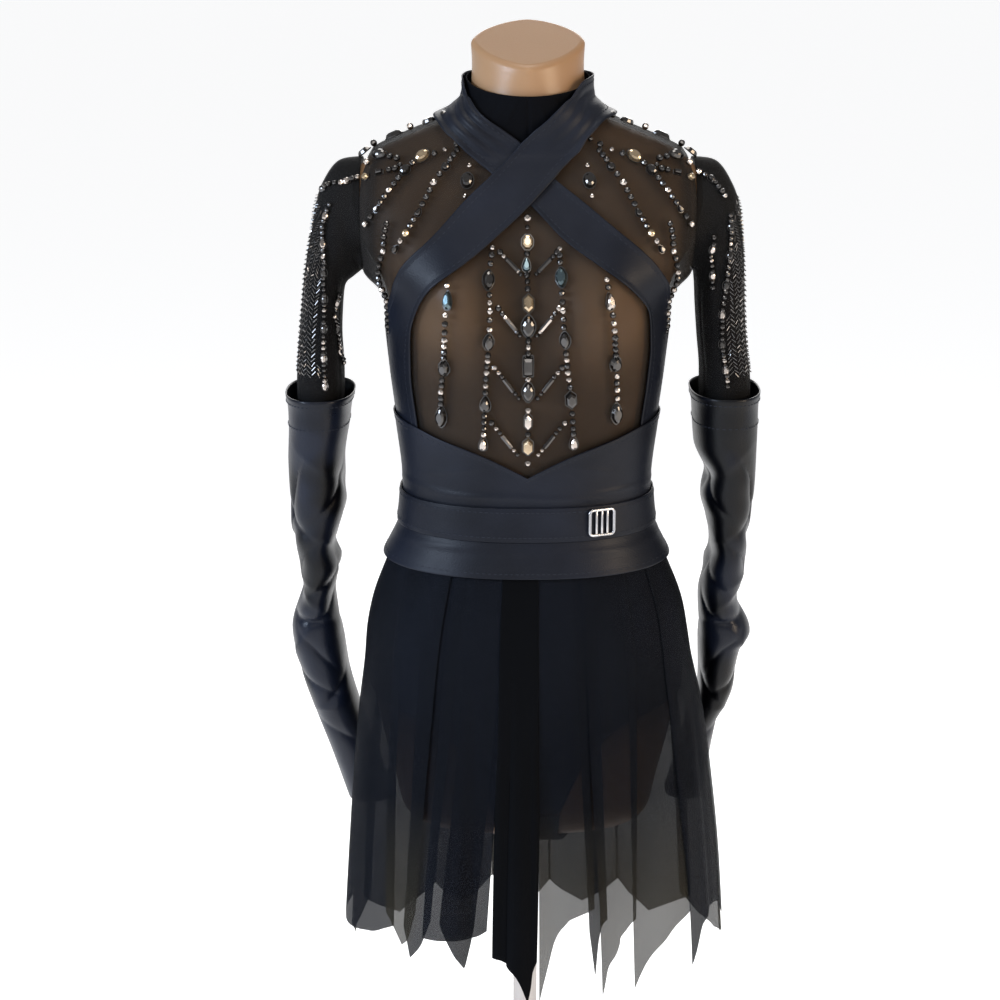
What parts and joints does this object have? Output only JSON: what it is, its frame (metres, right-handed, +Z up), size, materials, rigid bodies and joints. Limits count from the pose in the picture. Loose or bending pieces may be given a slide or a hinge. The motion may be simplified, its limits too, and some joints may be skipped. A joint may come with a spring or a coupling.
{
  "type": "figure skating dress on a limbless dress form with a pole stand",
  "caption": "Figure skating dress with crossed chest bands, beaded sheer bodice, gauntlet sleeves and pointed gored skirt, on a limbless form with a pole stand.",
  "frame": {"origin": "middle of the stand base's underside, on the floor", "axes": "+Z up along the pole, -Y towards the front of the dress, +X towards the wearer's left"},
  "size_m": [0.4748, 0.36, 1.4983],
  "materials": {
    "sheer_mesh": "sheer black stretch mesh",
    "skirt_mesh": "sheer black chiffon mesh",
    "skirt_opaque": "opaque black stretch jersey",
    "stretch_cloth": "smooth black stretch jersey",
    "coated_cloth": "satin black coated stretch cloth",
    "buckle_metal": "polished metal",
    "beads": "faceted dark stones",
    "form_skin": "satin moulded plastic",
    "stand_steel": "brushed"
  },
  "bodies": {
    "root": {"stand_base": "stand_steel", "stand_socket": "stand_steel", "stand_pole": "stand_steel", "form_body": "form_skin", "bodice_front": "sheer_mesh", "bodice_back": "sheer_mesh", "collar": "stretch_cloth", "band_over": "coated_cloth", "band_under": "coated_cloth", "waist_yoke": "coated_cloth", "belt": "coated_cloth", "basque": "coated_cloth", "belt_buckle": "buckle_metal", "briefs_front": "stretch_cloth", "briefs_back": "stretch_cloth", "briefs_gusset": "stretch_cloth", "skirt_front_1": "skirt_mesh", "skirt_front_2": "skirt_mesh", "skirt_front_3": "skirt_mesh", "skirt_front_4": "skirt_mesh", "skirt_front_5": "skirt_mesh", "skirt_front_centre": "skirt_opaque", "skirt_front_6": "skirt_mesh", "skirt_front_7": "skirt_mesh", "skirt_front_8": "skirt_mesh", "skirt_front_9": "skirt_mesh", "skirt_front_10": "skirt_mesh", "skirt_back_1": "skirt_mesh", "skirt_back_2": "skirt_mesh", "skirt_back_3": "skirt_mesh", "skirt_back_4": "skirt_mesh", "skirt_back_5": "skirt_mesh", "skirt_back_6": "skirt_mesh", "skirt_back_7": "skirt_mesh", "sleeve_right": "sheer_mesh", "sleeve_left": "sheer_mesh", "gauntlet_right_upper": "coated_cloth", "gauntlet_right_lower": "coated_cloth", "gauntlet_left_upper": "coated_cloth", "gauntlet_left_lower": "coated_cloth", "beads_centre": "beads", "beads_inner_right": "beads", "beads_inner_left": "beads", "beads_outer_right": "beads", "beads_outer_left": "beads", "beads_long_ray_right": "beads", "beads_ring_stone_right": "beads", "beads_short_ray_right": "beads", "beads_arm_line_right": "beads", "beads_long_ray_left": "beads", "beads_ring_stone_left": "beads", "beads_short_ray_left": "beads", "beads_arm_line_left": "beads"}
  },
  "joints": []
}
